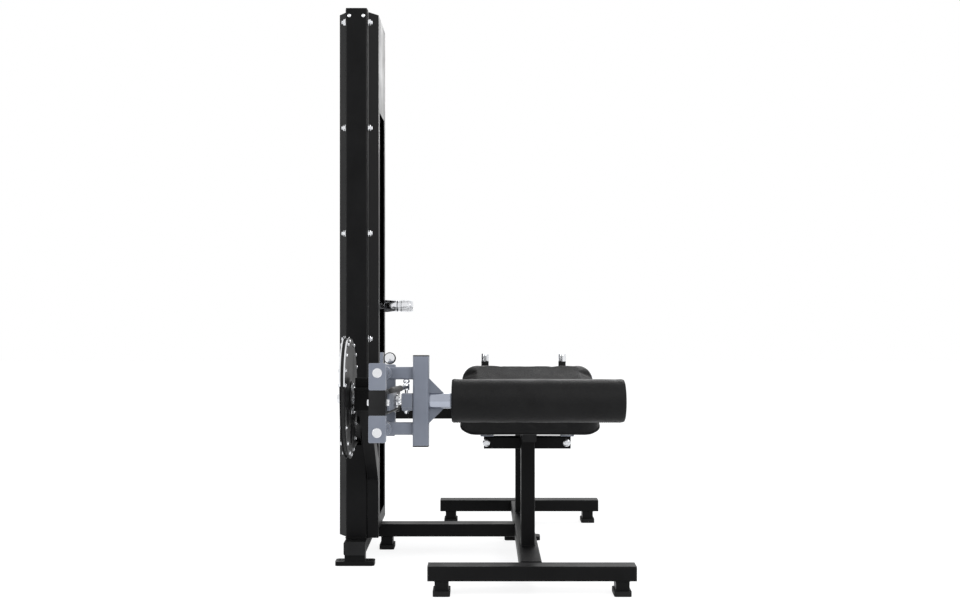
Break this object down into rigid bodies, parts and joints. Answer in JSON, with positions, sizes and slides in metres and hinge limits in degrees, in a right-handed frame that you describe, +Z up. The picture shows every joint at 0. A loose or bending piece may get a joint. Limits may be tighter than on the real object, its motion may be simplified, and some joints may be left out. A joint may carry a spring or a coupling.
{
  "type": "prone leg curl machine",
  "caption": "Prone leg curl machine: padded two-slope bench, padded roller on a pivoting arm with a cam, and an enclosed weight tower joined by a floor frame.",
  "frame": {"origin": "On the floor under the middle of the weight tower, at the centre of its four anchor holes.", "axes": "+Z up and the tallest extent. -Y is the foot end, where the roller is. +X runs from the tower to the bench."},
  "size_m": [1.065, 1.9171, 2.088],
  "materials": {
    "frame_black": "satin powder coat",
    "blue_grey": "satin powder coat",
    "chrome": "polished",
    "steel": "machined",
    "iron": "painted cast iron",
    "rubber": "matte",
    "leather": "soft grained upholstery",
    "board": "stained plywood",
    "belt": "ribbed drive belt",
    "plastic": "moulded"
  },
  "bodies": {
    "frame": {"tower_base_tube": "frame_black", "tower_feet": "frame_black", "front_upright": "frame_black", "rear_upright": "frame_black", "top_beam": "frame_black", "outer_cover": "frame_black", "inner_cover": "frame_black", "frame_bolts": "chrome", "guide_rods": "chrome", "weight_plates": "iron", "stack_bumpers": "rubber", "pulley_axles": "steel", "lift_belt": "belt", "belt_drop": "belt", "pivot_strut": "frame_black", "bearing_housing": "frame_black", "pivot_bearings": "steel", "foot_end_crossbar": "frame_black", "head_end_crossbar": "frame_black", "base_spine": "frame_black", "link_tube": "frame_black", "upper_link": "frame_black", "base_caps": "plastic", "foot_brackets": "frame_black", "rubber_feet": "rubber", "foot_end_column": "frame_black", "head_end_column": "frame_black", "bench_rails": "frame_black", "pad_crossbar": "frame_black", "pad_hangers": "blue_grey", "pad_boards": "board", "thigh_pad": "leather", "torso_pad": "leather", "handle_bar": "frame_black", "handle_grips": "rubber", "handle_caps": "chrome"},
    "arm": {"pivot_shaft": "chrome", "cam": "frame_black", "cam_bolts": "chrome", "cam_belt": "belt", "arm_tube": "frame_black", "arm_caps": "plastic", "slide_yokes": "blue_grey", "slide_rods": "chrome", "stop_bumper": "rubber", "index_bar": "blue_grey"},
    "carriage": {"carriage_frame": "blue_grey", "carriage_caps": "plastic", "latch_block": "blue_grey", "roller_shaft": "blue_grey"},
    "plunger": {"latch_plunger": "chrome"},
    "lever": {"latch_lever": "chrome"},
    "roller": {"roller_bushes": "plastic", "roller_pad": "leather"},
    "lift": {"head_plate": "iron", "selector_rod": "chrome"},
    "selector": {"selector_pin": "chrome"},
    "low_wheel": {"lower_pulley": "plastic"},
    "front_wheel": {"front_top_pulley": "plastic"},
    "rear_wheel": {"rear_top_pulley": "plastic"}
  },
  "joints": [
    {"name": "arm_swing", "type": "hinge", "parent": "frame", "child": "arm", "pos_m": [0, -0.665, 0.648], "axis": [-1, 0, 0], "range_deg": [0, 110]},
    {"name": "carriage_slide", "type": "slide", "parent": "arm", "child": "carriage", "axis": [0, -0.998, 0.0628], "range_m": [-0.04, 0.2]},
    {"name": "latch_pull", "type": "slide", "parent": "carriage", "child": "plunger", "axis": [1, 0, 0], "range_m": [0, 0.01]},
    {"name": "latch_turn", "type": "hinge", "parent": "carriage", "child": "lever", "pos_m": [0.238, -0.99834, 0.66897], "axis": [0, 0.0628, 0.998], "range_deg": [0, 25]},
    {"name": "roller_spin", "type": "hinge", "parent": "carriage", "child": "roller", "pos_m": [0.65, -0.97838, 0.66772], "axis": [1, 0, 0], "continuous": true},
    {"name": "stack_lift", "type": "slide", "parent": "frame", "child": "lift", "axis": [0, 0, 1], "range_m": [0, 0.3791], "deforming": ["belt_drop"]},
    {"name": "selector_pull", "type": "slide", "parent": "lift", "child": "selector", "axis": [1, 0, 0], "range_m": [0, 0.09]},
    {"name": "low_wheel_spin", "type": "hinge", "parent": "frame", "child": "low_wheel", "pos_m": [0, -0.2414, 0.492], "axis": [-1, 0, 0], "range_deg": [0, 536]},
    {"name": "front_wheel_spin", "type": "hinge", "parent": "frame", "child": "front_wheel", "pos_m": [0, -0.1606, 1.96], "axis": [1, 0, 0], "range_deg": [0, 536]},
    {"name": "rear_wheel_spin", "type": "hinge", "parent": "frame", "child": "rear_wheel", "pos_m": [0, -0.0404, 1.96], "axis": [1, 0, 0], "range_deg": [0, 536]}
  ],
  "couplings": [
    {"joint": "stack_lift", "follows": "arm_swing", "m_per_rad": 0.1964},
    {"joint": "low_wheel_spin", "follows": "arm_swing", "ratio": 4.8614},
    {"joint": "front_wheel_spin", "follows": "arm_swing", "ratio": 4.8614},
    {"joint": "rear_wheel_spin", "follows": "arm_swing", "ratio": 4.8614},
    {"joint": "latch_pull", "follows": "latch_turn", "m_per_rad": 0.02269}
  ]
}
